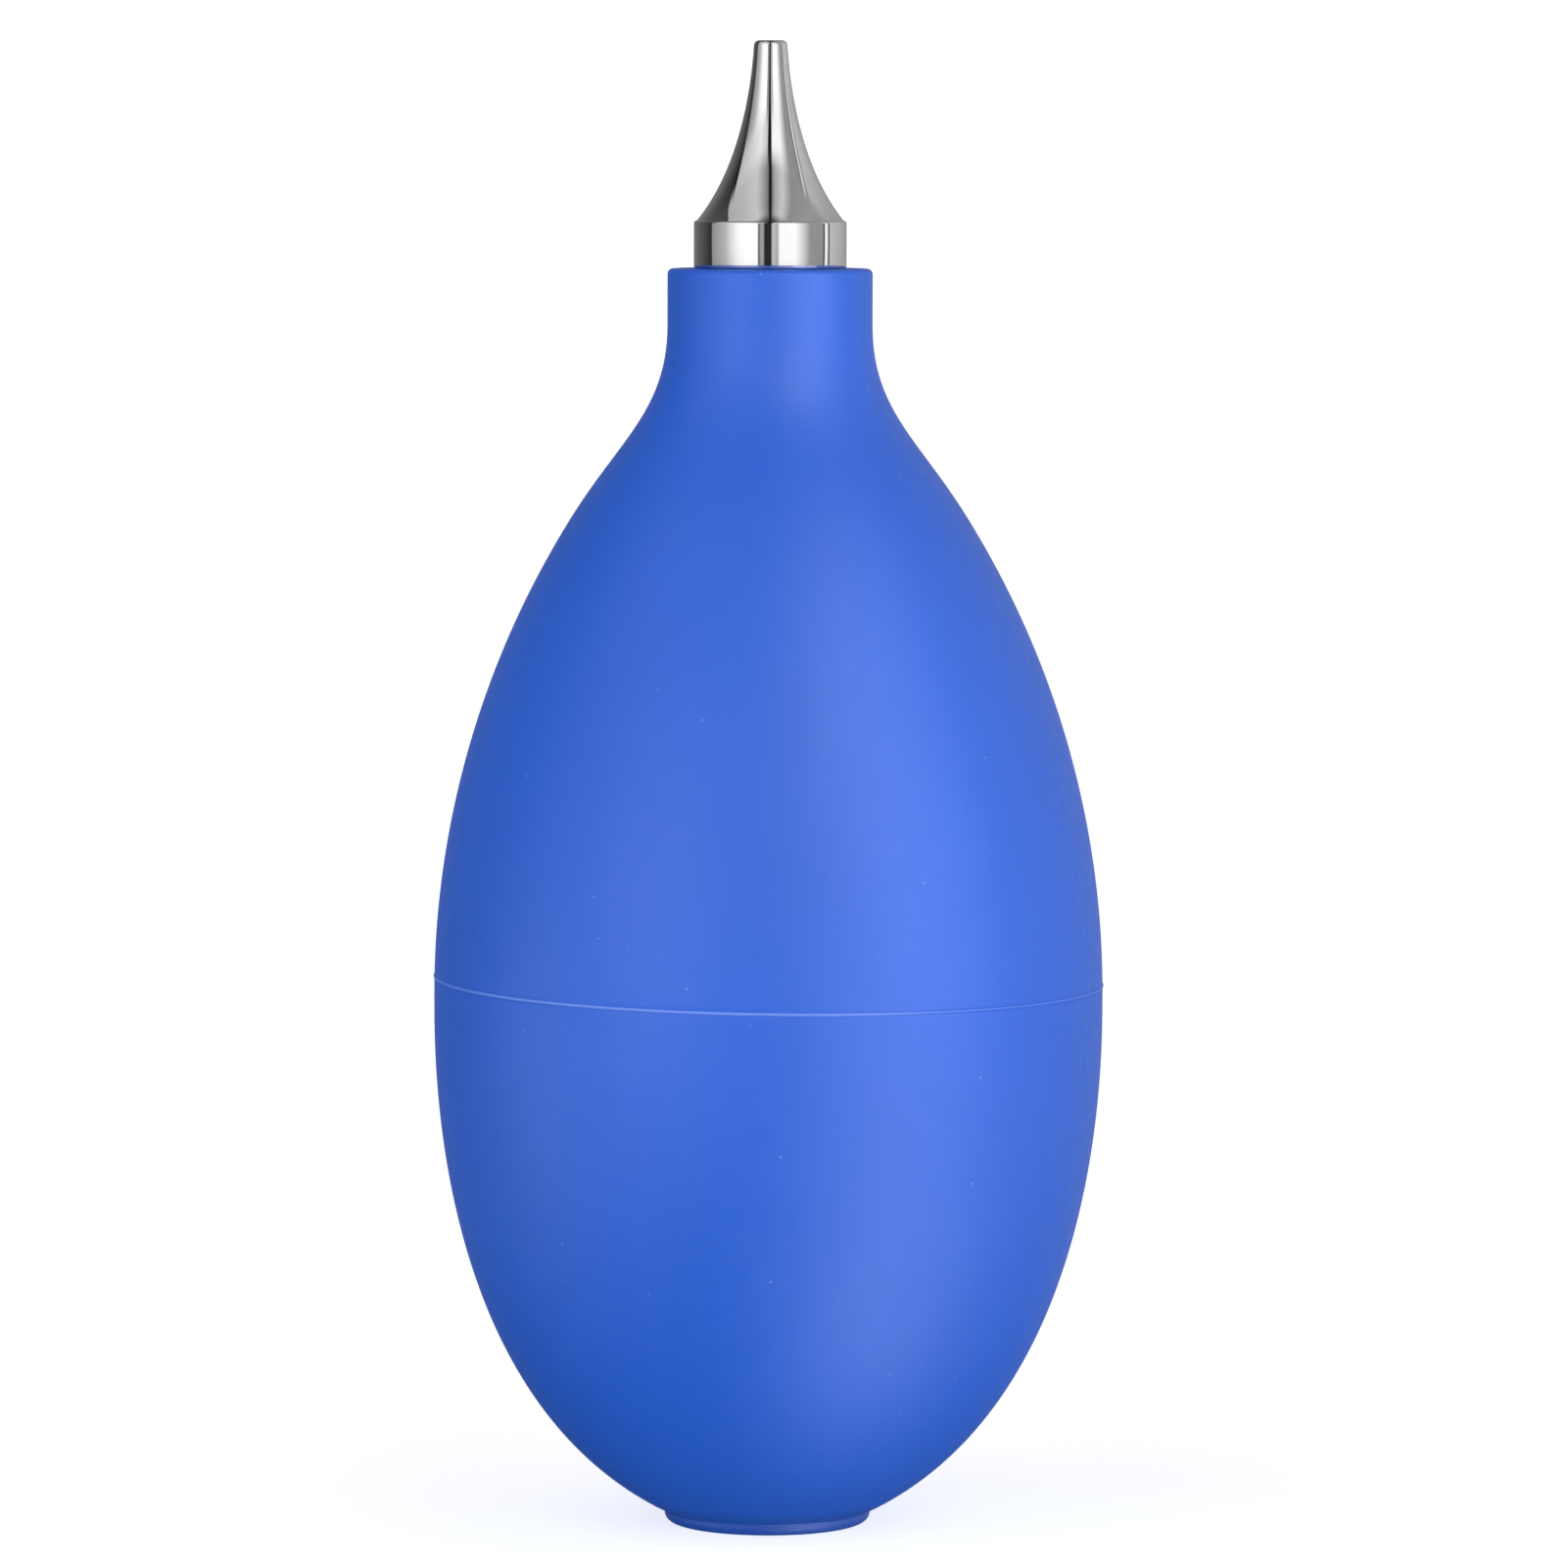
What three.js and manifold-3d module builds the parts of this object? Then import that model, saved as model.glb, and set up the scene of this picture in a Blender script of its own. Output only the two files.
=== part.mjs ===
// Hand air blower: an egg-shaped rubber squeeze bulb with a turned steel nozzle in its neck.
// Squeezing the two side walls drives air through the outlet valve and out of the nozzle tip.
// When they spring back, air comes in through the filtered inlet valve in the foot.
//
// Millimetres, +Z up along the bulb's axis. The origin is the centre of the foot's underside.
// The walls are squeezed along X.

import * as THREE from 'three';
import { mergeVertices } from 'three/addons/utils/BufferGeometryUtils.js';
import Module from 'manifold-3d';

// ---------------------------------------------------------------- driving dimensions

const GAP = 0.3;               // clearance between pieces that touch on the real object

// Rubber bulb
const FOOT_RADIUS = 8.5;
const FOOT_EDGE = 0.8;         // rounding of the foot's lower edge
const BELLY_START = 1.2;       // height at which the belly leaves the foot
const BELLY_OVERHANG = 0.45;   // how far the belly's start stands out past the foot
const BELLY_LEAN = THREE.MathUtils.degToRad(27.2);
const BELLY_RADIUS = 27.5;
const BELLY_HEIGHT = 42.3;     // height of the widest ring
const SEAM_HEIGHT = 45;        // parting line between the two moulded halves
const SHOULDER_RADIUS = 16.2;  // where the outline turns from convex to concave
const SHOULDER_HEIGHT = 83.1;
const SHOULDER_SLOPE = THREE.MathUtils.degToRad(58);
const NECK_RADIUS = 8.4;
const NECK_START = 98.8;       // height above which the neck is a straight cylinder
const LOWER_PULL = [18.3, 10.5];   // curve handle lengths at the start and end of each span
const UPPER_PULL = [4, 22.4];
const FLARE_PULL = [7.6, 6.9];
const NECK_TOP = 103.4;
const NECK_EDGE = 0.4;
const WALL = 2.6;
const NECK_WALL = 3.7;
const WALL_GROWS_FROM = 78;    // the wall thickens between these two heights
const WALL_GROWS_TO = 94;
const SEAM_THICKNESS = 0.4;
const SEAM_PROUD = 0.15;

// Squeeze walls: the oval zone on each side that a finger or thumb pushes in
const SQUEEZE_HALF_WIDTH = 15;
const SQUEEZE_HALF_HEIGHT = 21;
const SQUEEZE_INNER_X = 12;
const SQUEEZE_OUTER_X = 30;

// Inlet valve in the foot
const FOOT_BORE = 5.4;
const FOOT_RECESS = 6.9;
const FOOT_RECESS_DEPTH = 1.8;
const BOSS_RADIUS = 8;
const BOSS_TOP = 7.4;
const HOUSING_BOTTOM = 0.5;
const HOUSING_FLANGE = 1;
const HOUSING_TOP = 8.7;
const HOUSING_BARB = 6.4;
const INLET_POCKET = 4.4;      // radius of the pocket that holds the grille and the filter
const INLET_SEAT_LOW = 3.4;
const INLET_SEAT_HIGH = 4.6;
const INLET_HOLE = 2.3;
const INLET_DISC_RADIUS = 3.4;
const INLET_LIFT = 0.9;        // free travel of the inlet disc
const GRILLE_BOTTOM = 0.6;
const GRILLE_HOLE = 0.65;
const GRILLE_HOLE_RING = 2.4;
const GRILLE_HOLE_COUNT = 6;

// Nozzle, its barbed tail and the outlet valve inside the tail
const COLLAR_RADIUS = 6.25;
const COLLAR_TOP = 107.3;
const CONE_RADIUS = 6.1;
const TIP_RADIUS = 1.38;
const TIP_TOP = 122;
const TIP_EDGE = 0.4;
const CONE_FOOT_LEAN = THREE.MathUtils.degToRad(51);
const CONE_TIP_LEAN = THREE.MathUtils.degToRad(3.7);
const CONE_PULL = [4.6, 5.3];
const TIP_BORE = 0.7;
const TIP_BORE_LENGTH = 10;    // the bore widens below this depth
const TAIL_BOTTOM = 90;
const TAIL_ROOT = 3.9;
const TAIL_BORE = 3;
const TAIL_BORE_TOP = 105.3;
const BARB_COUNT = 3;
const BARB_PITCH = 3.6;
const BARB_STEP = 0.8;         // plain tail between one barb and the next
const OUTLET_HOLE = 1.4;
const OUTLET_SEAT_INSET = 1;   // height of the seat above the tail's lower end
const OUTLET_SEAT_THICKNESS = 1.5;
const OUTLET_DISC_RADIUS = 2.2;
const OUTLET_LIFT = 0.8;       // free travel of the outlet disc

// Small parts of both valves
const DISC_THICKNESS = 0.6;
const PLATE_THICKNESS = 1;
const SPOKE_HALF_ANGLE = 0.22;

const ROUND_SEGMENTS = 48;
const SMALL_SEGMENTS = 32;

const BARB_RADIUS = NECK_RADIUS - NECK_WALL - GAP;
const FLANGE_RADIUS = FOOT_RECESS - GAP;
const PARTING_HALF_GAP = SEAM_THICKNESS / 2 + GAP;

// ---------------------------------------------------------------- materials

function material(color, roughness, metalness) {
  return new THREE.MeshStandardMaterial({ color, roughness, metalness });
}

const blueRubber = material(0x426cd7, 0.55, 0);
const seamRubber = material(0x6b94fd, 0.5, 0);
const polishedSteel = material(0xc4c6c8, 0.12, 1);
const nickelBrass = material(0xb9b4a8, 0.25, 1);
const clearSilicone = material(0xdfe3e6, 0.4, 0);
const whitePlastic = material(0xe8e8e4, 0.45, 0);
const filterFelt = material(0xf0efe9, 0.95, 0);

// ---------------------------------------------------------------- outlines

// Every outline is a list of points (radius, height).

function point(radius, height) {
  return new THREE.Vector2(radius, height);
}

function polar(angle, length) {
  return point(Math.cos(angle) * length, Math.sin(angle) * length);
}

// Quarter round from angle `from` to angle `to` about (radius, height).
function round(radius, height, size, from, to, steps = 3) {
  const arc = new THREE.ArcCurve(radius, height, size, from, to, to < from);
  return arc.getPoints(steps);
}

// The bulb's outer face from the foot to the straight neck, in three smooth spans.
function bulbOutline() {
  const start = point(FOOT_RADIUS + BELLY_OVERHANG, BELLY_START);
  const widest = point(BELLY_RADIUS, BELLY_HEIGHT);
  const shoulder = point(SHOULDER_RADIUS, SHOULDER_HEIGHT);
  const inward = polar(Math.PI - SHOULDER_SLOPE, 1);
  const neck = point(NECK_RADIUS, NECK_START);
  const belly = new THREE.CubicBezierCurve(
    start, start.clone().add(polar(BELLY_LEAN, LOWER_PULL[0])),
    point(BELLY_RADIUS, BELLY_HEIGHT - LOWER_PULL[1]), widest);
  const upper = new THREE.CubicBezierCurve(
    widest, point(BELLY_RADIUS, BELLY_HEIGHT + UPPER_PULL[0]),
    shoulder.clone().addScaledVector(inward, -UPPER_PULL[1]), shoulder);
  const flare = new THREE.CubicBezierCurve(
    shoulder, shoulder.clone().addScaledVector(inward, FLARE_PULL[0]),
    point(NECK_RADIUS, NECK_START - FLARE_PULL[1]), neck);
  return [
    ...belly.getSpacedPoints(10),
    ...upper.getSpacedPoints(8).slice(1),
    ...flare.getSpacedPoints(6).slice(1),
  ];
}

// The wall is thin round the belly and thickens towards the neck, where it grips the nozzle.
function wallAt(height) {
  const rise = THREE.MathUtils.smoothstep(height, WALL_GROWS_FROM, WALL_GROWS_TO);
  return THREE.MathUtils.lerp(WALL, NECK_WALL, rise);
}

// The same outline moved in by the wall thickness, square to the outer face.
function bulbLining(outline) {
  return outline.map((p, i) => {
    const before = outline[Math.max(i - 1, 0)];
    const after = outline[Math.min(i + 1, outline.length - 1)];
    const along = after.clone().sub(before).normalize();
    return point(p.x - along.y * wallAt(p.y), p.y + along.x * wallAt(p.y));
  });
}

// The stretch of an outline between two heights, with exact end points.
function stretch(outline, low, high) {
  const at = (height) => {
    const i = outline.findIndex((p) => p.y > height);
    const [a, b] = [outline[i - 1], outline[i]];
    return a.clone().lerp(b, (height - a.y) / (b.y - a.y));
  };
  const ends = [
    outline[0].y < low ? [at(low)] : [],
    outline[outline.length - 1].y > high ? [at(high)] : [],
  ];
  const inside = outline.filter((p) => p.y > low + 0.2 && p.y < high - 0.2);
  return [...ends[0], ...inside, ...ends[1]];
}

// ---------------------------------------------------------------- solids

// A ring turned about the axis from a closed outline, listed outer face upwards.
function turned(outline, segments = ROUND_SEGMENTS) {
  const profile = [...outline, outline[0].clone()];
  return new THREE.LatheGeometry(profile, segments).rotateX(Math.PI / 2);
}

function disc(radius, low, thickness) {
  return new THREE.CylinderGeometry(radius, radius, thickness, SMALL_SEGMENTS)
    .rotateX(Math.PI / 2)
    .translate(0, 0, low + thickness / 2);
}

function plate(shape, low) {
  return new THREE.ExtrudeGeometry(shape, {
    depth: PLATE_THICKNESS, bevelEnabled: false, curveSegments: 10,
  }).translate(0, 0, low);
}

function mesh(name, geometry, finish) {
  const piece = new THREE.Mesh(geometry, finish);
  piece.name = name;
  return piece;
}

// ---------------------------------------------------------------- joining and cutting

const wasm = await Module();
wasm.setup();

function solid(geometry) {
  const bare = geometry.clone();
  bare.deleteAttribute('normal');
  bare.deleteAttribute('uv');
  const merged = mergeVertices(bare, 1e-4);
  return new wasm.Manifold(new wasm.Mesh({
    numProp: 3,
    vertProperties: merged.getAttribute('position').array,
    triVerts: Uint32Array.from(merged.getIndex().array),
  }));
}

function geometryOf(body) {
  const cut = body.getMesh();
  const geometry = new THREE.BufferGeometry();
  geometry.setAttribute('position', new THREE.BufferAttribute(cut.vertProperties, 3));
  geometry.setIndex(new THREE.BufferAttribute(cut.triVerts, 1));
  geometry.computeVertexNormals();
  return geometry;
}

// ---------------------------------------------------------------- rubber bulb

const outline = bulbOutline();
const lining = bulbLining(outline);

function lowerShell() {
  const top = SEAM_HEIGHT - PARTING_HALF_GAP;
  const edge = round(FOOT_RADIUS - FOOT_EDGE, FOOT_EDGE, FOOT_EDGE, -Math.PI / 2, 0);
  const inside = stretch(lining, 0, top).filter((p) => p.x > BOSS_RADIUS + 1).reverse();
  return turned([
    point(FOOT_RECESS, 0),
    ...edge,
    ...stretch(outline, 0, top),
    ...inside,
    point(BOSS_RADIUS, inside[inside.length - 1].y - 0.6),
    point(BOSS_RADIUS, BOSS_TOP),
    point(FOOT_BORE, BOSS_TOP),
    point(FOOT_BORE, FOOT_RECESS_DEPTH),
    point(FOOT_RECESS, FOOT_RECESS_DEPTH),
  ]);
}

function upperShell() {
  const bottom = SEAM_HEIGHT + PARTING_HALF_GAP;
  const edge = round(NECK_RADIUS - NECK_EDGE, NECK_TOP - NECK_EDGE, NECK_EDGE, 0, Math.PI / 2);
  return turned([
    ...stretch(outline, bottom, NECK_TOP),
    ...edge,
    point(NECK_RADIUS - NECK_WALL, NECK_TOP),
    ...stretch(lining, bottom, NECK_TOP).reverse(),
  ]);
}

function seamRing() {
  const outer = BELLY_RADIUS + SEAM_PROUD;
  const inner = BELLY_RADIUS - WALL;
  const low = SEAM_HEIGHT - SEAM_THICKNESS / 2;
  const high = SEAM_HEIGHT + SEAM_THICKNESS / 2;
  return turned([point(inner, low), point(outer, low), point(outer, high), point(inner, high)]);
}

// The straight oval column along X that divides a squeeze wall from the rest of the bulb.
function squeezeColumn(side, inset) {
  const oval = new THREE.Shape();
  oval.absellipse(0, 0, SQUEEZE_HALF_WIDTH - inset, SQUEEZE_HALF_HEIGHT - inset, 0, 2 * Math.PI);
  const depth = SQUEEZE_OUTER_X - SQUEEZE_INNER_X;
  const column = new THREE.ExtrudeGeometry(oval, { depth, bevelEnabled: false, curveSegments: 9 })
    .rotateX(Math.PI / 2)
    .rotateZ(Math.PI / 2)
    .translate(SQUEEZE_INNER_X, 0, SEAM_HEIGHT);
  return side > 0 ? column : column.rotateZ(Math.PI);
}

// Splits one rubber piece into its fixed zone and its left and right squeeze walls.
function splitForSqueeze(geometry) {
  const whole = solid(geometry);
  const wall = (side) => geometryOf(whole.intersect(solid(squeezeColumn(side, GAP))));
  const fixed = whole.subtract(solid(squeezeColumn(1, 0))).subtract(solid(squeezeColumn(-1, 0)));
  return { fixed, left: wall(-1), right: wall(1) };
}

// The fixed part of the seam is two separate arcs, at the front (-Y) and at the back.
function seamArc(ring, side) {
  const reach = 2 * BELLY_RADIUS + 2;
  const half = new THREE.BoxGeometry(reach, reach, reach).translate(0, side * reach / 2, SEAM_HEIGHT);
  return geometryOf(ring.intersect(solid(half)));
}

function rubberBulb() {
  const lower = splitForSqueeze(lowerShell());
  const upper = splitForSqueeze(upperShell());
  const seam = splitForSqueeze(seamRing());
  return [
    mesh('lower_shell', geometryOf(lower.fixed), blueRubber),
    mesh('upper_shell', geometryOf(upper.fixed), blueRubber),
    mesh('seam_front', seamArc(seam.fixed, -1), seamRubber),
    mesh('seam_back', seamArc(seam.fixed, 1), seamRubber),
    ...['left', 'right'].flatMap((side) => [
      mesh(`${side}_wall_lower`, lower[side], blueRubber),
      mesh(`${side}_wall_upper`, upper[side], blueRubber),
      mesh(`${side}_seam`, seam[side], seamRubber),
    ]),
  ];
}

// ---------------------------------------------------------------- valves

// A spool clipped into the foot: flange below, barb above, valve seat across the middle.
function inletHousing() {
  const barrel = FOOT_BORE - GAP;
  const flangeTop = HOUSING_BOTTOM + HOUSING_FLANGE;
  return turned([
    point(INLET_POCKET, HOUSING_BOTTOM),
    point(FLANGE_RADIUS, HOUSING_BOTTOM),
    point(FLANGE_RADIUS, flangeTop),
    point(barrel, flangeTop),
    point(barrel, BOSS_TOP + GAP),
    point(HOUSING_BARB, BOSS_TOP + GAP),
    point(barrel, HOUSING_TOP),
    point(INLET_POCKET, HOUSING_TOP),
    point(INLET_POCKET, INLET_SEAT_HIGH),
    point(INLET_HOLE, INLET_SEAT_HIGH),
    point(INLET_HOLE, INLET_SEAT_LOW),
    point(INLET_POCKET, INLET_SEAT_LOW),
  ], SMALL_SEGMENTS);
}

function circleHole(x, y, radius) {
  const hole = new THREE.Path();
  hole.absarc(x, y, radius, 0, 2 * Math.PI, true);
  return hole;
}

function roundPlate(radius) {
  const shape = new THREE.Shape();
  shape.absarc(0, 0, radius, 0, 2 * Math.PI, false);
  return shape;
}

// Air holes: one in the middle and six round it.
function inletGrille() {
  const shape = roundPlate(INLET_POCKET - GAP);
  shape.holes.push(circleHole(0, 0, GRILLE_HOLE));
  for (let i = 0; i < GRILLE_HOLE_COUNT; i += 1) {
    const place = polar(i * 2 * Math.PI / GRILLE_HOLE_COUNT, GRILLE_HOLE_RING);
    shape.holes.push(circleHole(place.x, place.y, GRILLE_HOLE));
  }
  return plate(shape, GRILLE_BOTTOM);
}

// A thin wheel with open sectors between its spokes, which stops a valve disc and lets air by.
function stopWheel(radius, low, spokes) {
  const shape = roundPlate(radius);
  for (let i = 0; i < spokes; i += 1) {
    const from = i * 2 * Math.PI / spokes + SPOKE_HALF_ANGLE;
    const to = (i + 1) * 2 * Math.PI / spokes - SPOKE_HALF_ANGLE;
    const sector = new THREE.Path();
    sector.absarc(0, 0, radius * 0.78, from, to, false);
    sector.absarc(0, 0, radius * 0.26, to, from, true);
    sector.closePath();
    shape.holes.push(sector);
  }
  return plate(shape, low);
}

function inletValve() {
  const pocket = INLET_POCKET - GAP;
  const discLow = INLET_SEAT_HIGH + GAP;
  const stopLow = discLow + DISC_THICKNESS + INLET_LIFT + GAP;
  const filterLow = GRILLE_BOTTOM + PLATE_THICKNESS + GAP;
  return [
    mesh('inlet_housing', inletHousing(), nickelBrass),
    mesh('inlet_grille', inletGrille(), nickelBrass),
    mesh('inlet_filter', disc(pocket, filterLow, INLET_SEAT_LOW - GAP - filterLow), filterFelt),
    mesh('inlet_disc', disc(INLET_DISC_RADIUS, discLow, DISC_THICKNESS), clearSilicone),
    mesh('inlet_stop', stopWheel(pocket, stopLow, 4), whitePlastic),
  ];
}

function outletValve() {
  const radius = TAIL_BORE - GAP;
  const seatLow = TAIL_BOTTOM + OUTLET_SEAT_INSET;
  const seatHigh = seatLow + OUTLET_SEAT_THICKNESS;
  const discLow = seatHigh + GAP;
  const stopLow = discLow + DISC_THICKNESS + OUTLET_LIFT + GAP;
  const seat = turned([
    point(OUTLET_HOLE, seatLow),
    point(radius, seatLow),
    point(radius, seatHigh),
    point(OUTLET_HOLE, seatHigh),
  ], SMALL_SEGMENTS);
  return [
    mesh('outlet_seat', seat, whitePlastic),
    mesh('outlet_disc', disc(OUTLET_DISC_RADIUS, discLow, DISC_THICKNESS), clearSilicone),
    mesh('outlet_stop', stopWheel(radius, stopLow, 3), whitePlastic),
  ];
}

// ---------------------------------------------------------------- nozzle

// Saw-tooth rings that hold the tail in the rubber neck: each widens upwards to a sharp step.
function barbs() {
  const first = TAIL_BOTTOM + 0.2;
  return Array.from({ length: BARB_COUNT }).flatMap((_, i) => {
    const low = first + i * BARB_PITCH;
    const high = low + BARB_PITCH - BARB_STEP;
    return [point(TAIL_ROOT, low), point(BARB_RADIUS, high), point(TAIL_ROOT, high + 0.2)];
  });
}

// The steel cone sweeps in a hollow curve from the collar to the slim tip.
function coneOutline() {
  const foot = point(CONE_RADIUS, COLLAR_TOP - 0.1);
  const top = point(TIP_RADIUS, TIP_TOP - TIP_EDGE);
  return new THREE.CubicBezierCurve(
    foot, foot.clone().add(polar(Math.PI - CONE_FOOT_LEAN, CONE_PULL[0])),
    top.clone().add(polar(CONE_TIP_LEAN - Math.PI / 2, CONE_PULL[1])), top).getSpacedPoints(12);
}

function nozzle() {
  const collarBottom = NECK_TOP + GAP;
  return turned([
    point(TAIL_BORE, TAIL_BOTTOM),
    ...barbs(),
    point(TAIL_ROOT, collarBottom),
    point(COLLAR_RADIUS, collarBottom),
    point(COLLAR_RADIUS, COLLAR_TOP - 0.2),
    ...coneOutline(),
    ...round(TIP_RADIUS - TIP_EDGE, TIP_TOP - TIP_EDGE, TIP_EDGE, 0, Math.PI / 2).slice(1),
    point(TIP_BORE, TIP_TOP),
    point(TIP_BORE, TIP_TOP - TIP_BORE_LENGTH),
    point(TAIL_BORE, TAIL_BORE_TOP),
  ], SMALL_SEGMENTS);
}

// ---------------------------------------------------------------- the assembly

const blower = new THREE.Group();
blower.add(...rubberBulb());
blower.add(...inletValve());
blower.add(mesh('nozzle', nozzle(), polishedSteel), ...outletValve());

export default blower;
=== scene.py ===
import math

import bmesh
import bpy
import numpy as np
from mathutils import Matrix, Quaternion, Vector


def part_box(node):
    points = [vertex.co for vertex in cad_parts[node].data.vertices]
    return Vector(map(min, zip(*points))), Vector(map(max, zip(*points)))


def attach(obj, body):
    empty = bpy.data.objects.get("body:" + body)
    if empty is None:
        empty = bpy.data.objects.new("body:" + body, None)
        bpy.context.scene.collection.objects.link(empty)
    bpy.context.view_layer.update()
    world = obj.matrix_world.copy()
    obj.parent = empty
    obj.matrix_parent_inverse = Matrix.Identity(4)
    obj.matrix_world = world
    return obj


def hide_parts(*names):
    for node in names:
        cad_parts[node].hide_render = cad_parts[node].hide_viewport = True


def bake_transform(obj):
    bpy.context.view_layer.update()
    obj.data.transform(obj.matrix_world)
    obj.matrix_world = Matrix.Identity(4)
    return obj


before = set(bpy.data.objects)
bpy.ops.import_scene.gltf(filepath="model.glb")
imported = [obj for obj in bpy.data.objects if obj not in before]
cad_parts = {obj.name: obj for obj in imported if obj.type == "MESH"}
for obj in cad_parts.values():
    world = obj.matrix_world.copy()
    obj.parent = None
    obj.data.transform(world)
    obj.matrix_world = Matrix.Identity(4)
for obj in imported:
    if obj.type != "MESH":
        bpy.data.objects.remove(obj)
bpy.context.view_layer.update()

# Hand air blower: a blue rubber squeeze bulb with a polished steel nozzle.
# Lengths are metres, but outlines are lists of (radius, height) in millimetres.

MM = 0.001

# ---------------------------------------------------------------- sizes, from the frame

def top_of(node):
    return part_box(node)[1].z / MM


def bottom_of(node):
    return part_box(node)[0].z / MM


def radius_of(node):
    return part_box(node)[1].y / MM


BELLY_RADIUS = radius_of("lower_shell")
SEAM_HEIGHT = (top_of("seam_front") + bottom_of("seam_front")) / 2
NECK_TOP = top_of("upper_shell")
COLLAR_RADIUS = radius_of("nozzle")
TIP_TOP = top_of("nozzle")
TAIL_BOTTOM = bottom_of("nozzle")
HOUSING_BOTTOM = bottom_of("inlet_housing")
HOUSING_TOP = top_of("inlet_housing")
HOUSING_FLANGE = radius_of("inlet_housing")

# Rubber bulb
FOOT_RADIUS = 8.5
FOOT_EDGE = 0.8                # rounding of the foot's lower edge
FOOT_CREASE = ((0, 0.9), (0.04, 1.01))   # outwards from the foot, and height: the turn into the belly
BELLY_CLEAR = 1.5              # the belly's outline starts above this height
BELLY_START = (8.95, 1.2)
BELLY_SLOPE = math.radians(27.2)
BELLY_HEIGHT = 42.3            # height of the widest ring
SHOULDER = (16.2, 83.1)
SHOULDER_SLOPE = math.radians(58)
LOWER_PULL = (18.3, 10.5)      # curve handle lengths at the start and end of each span
UPPER_PULL = (4, 22.4)
FLARE_PULL = (7.6, 6.9)
NECK_RADIUS = 8.4
NECK_START = 98.8
NECK_EDGE = 0.45
NECK_BORE = 4.7
NECK_BORE_EDGE = 0.15
NECK_STEP = 1                  # the neck's own rows start this far above the flare
NECK_CLEAR = 0.3               # and stop this far below its rounded rim
NECK_BORE_CLEAR = 0.4
WALL = 2.6
WALL_GROWS = (78, 94)          # the wall thickens to the neck's between these heights
FOOT_BORE = 5.4
FOOT_RECESS = 6.9
FOOT_RECESS_DEPTH = 1.8
RECESS_EDGE = 0.1
BOSS_RADIUS = 8
BOSS_TOP = 7.4
BOSS_CLEAR = 1                 # the lining starts this far outside the boss
LINING_STEP = 0.6              # and its corner lies this far below the first point
SEAM_TILT = math.radians(0.7)  # the bonded line runs slightly down to the right
SEAM_REACH = 12                # rows this near the seam follow its tilt
SEAM_BEAD = 0.14               # radius of the bead
SEAM_PROUD = 0.08
SEAM_EDGE = 0.12               # rounding of each half along the seam
SEAM_GAP = 0.08                # from the seam's middle to the flat edge of each half
SEAM_LAND = 0.5                # width of the flat edge that each half shows
SEAM_CLEAR = 0.1               # the outline stops this far from the rounding
SQUEEZE_TILT = math.radians(11.3)   # the squeeze's tilt, away from the neck and the foot

# Nozzle
COLLAR_TOP = 107.3
COLLAR_EDGE = 0.18
CONE_RADIUS = 6.02
TIP_RADIUS = 1.38
TIP_EDGE = 0.42
TIP_BORE = 0.7
TIP_BORE_LENGTH = 10
TIP_BORE_EDGE = 0.12
CONE_FOOT_LEAN = math.radians(51)
CONE_TIP_LEAN = math.radians(3.7)
CONE_PULL = (4.6, 5.3)
COLLAR_GAP = 0.02              # between the collar and the neck
TAIL_ROOT = 3.9
TAIL_EDGE = 0.2
TAIL_BORE = 3
TAIL_BORE_TOP = 105.3
BARB_RADIUS = 4.4
BARB_COUNT = 3
BARB_PITCH = 3.6
BARB_STEP = 0.8
BARB_START = 0.2
BARB_EDGE = 0.15

# Valves
INLET_POCKET = 4.4
INLET_SEAT = (3.4, 4.6)
INLET_HOLE = 2.3
INLET_SEAT_EDGE = 0.3
HOUSING_PLAY = 0.05            # gap between the housing and the rubber
HOUSING_LIP = (0.08, 0.05)     # width and height of the chamfer at the housing's top
FLANGE_THICKNESS = 1
FLANGE_EDGE = 0.25
HOUSING_BARB = 6.4
HOUSING_BARB_EDGE = 0.12
GRILLE_PRESS = 0.2             # the grille's rim is pressed this far into the housing
GRILLE_HOLE = 0.65
GRILLE_HOLE_RING = 2.4
GRILLE_HOLE_COUNT = 6
OUTLET_HOLE = 1.4
OUTLET_SEAT_EDGE = 0.25
FILTER_EDGE = 0.2
DISC_EDGE = 0.15
SPOKE_HALF_ANGLE = 0.22
WHEEL_RIM = 0.78               # inner edge of a stop wheel's rim, as a share of its radius
WHEEL_HUB = 0.26
SMALL_EDGE = 0.1               # bevel of the small metal and plastic parts

ROW = 0.7                      # spacing of mesh rows along a smooth outline
CONE_ROW = 0.3                 # and along the nozzle's cone
CURVE_STEPS = 400              # a curve is measured in this many steps before it is divided
MERGE_DISTANCE = MM / 1000

# ---------------------------------------------------------------- outlines

def polar(centre, size, angle):
    return (centre[0] + size * math.cos(angle), centre[1] + size * math.sin(angle))


def arc(centre, size, start, end, steps=6):
    """Points of a round corner, from angle start to angle end in degrees."""
    return [polar(centre, size, angle) for angle in np.radians(np.linspace(start, end, steps + 1))]


def bezier(a, b, c, d, spacing=ROW):
    """Points about `spacing` apart along a cubic curve."""
    t = np.linspace(0, 1, CURVE_STEPS)[:, None]
    a, b, c, d = (np.array(p) for p in (a, b, c, d))
    curve = (1 - t) ** 3 * a + 3 * (1 - t) ** 2 * t * b + 3 * (1 - t) * t * t * c + t ** 3 * d
    run = np.concatenate([[0], np.cumsum(np.linalg.norm(np.diff(curve, axis=0), axis=1))])
    places = np.linspace(0, run[-1], max(2, round(run[-1] / spacing)) + 1)
    return [(np.interp(s, run, curve[:, 0]), np.interp(s, run, curve[:, 1])) for s in places]


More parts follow.
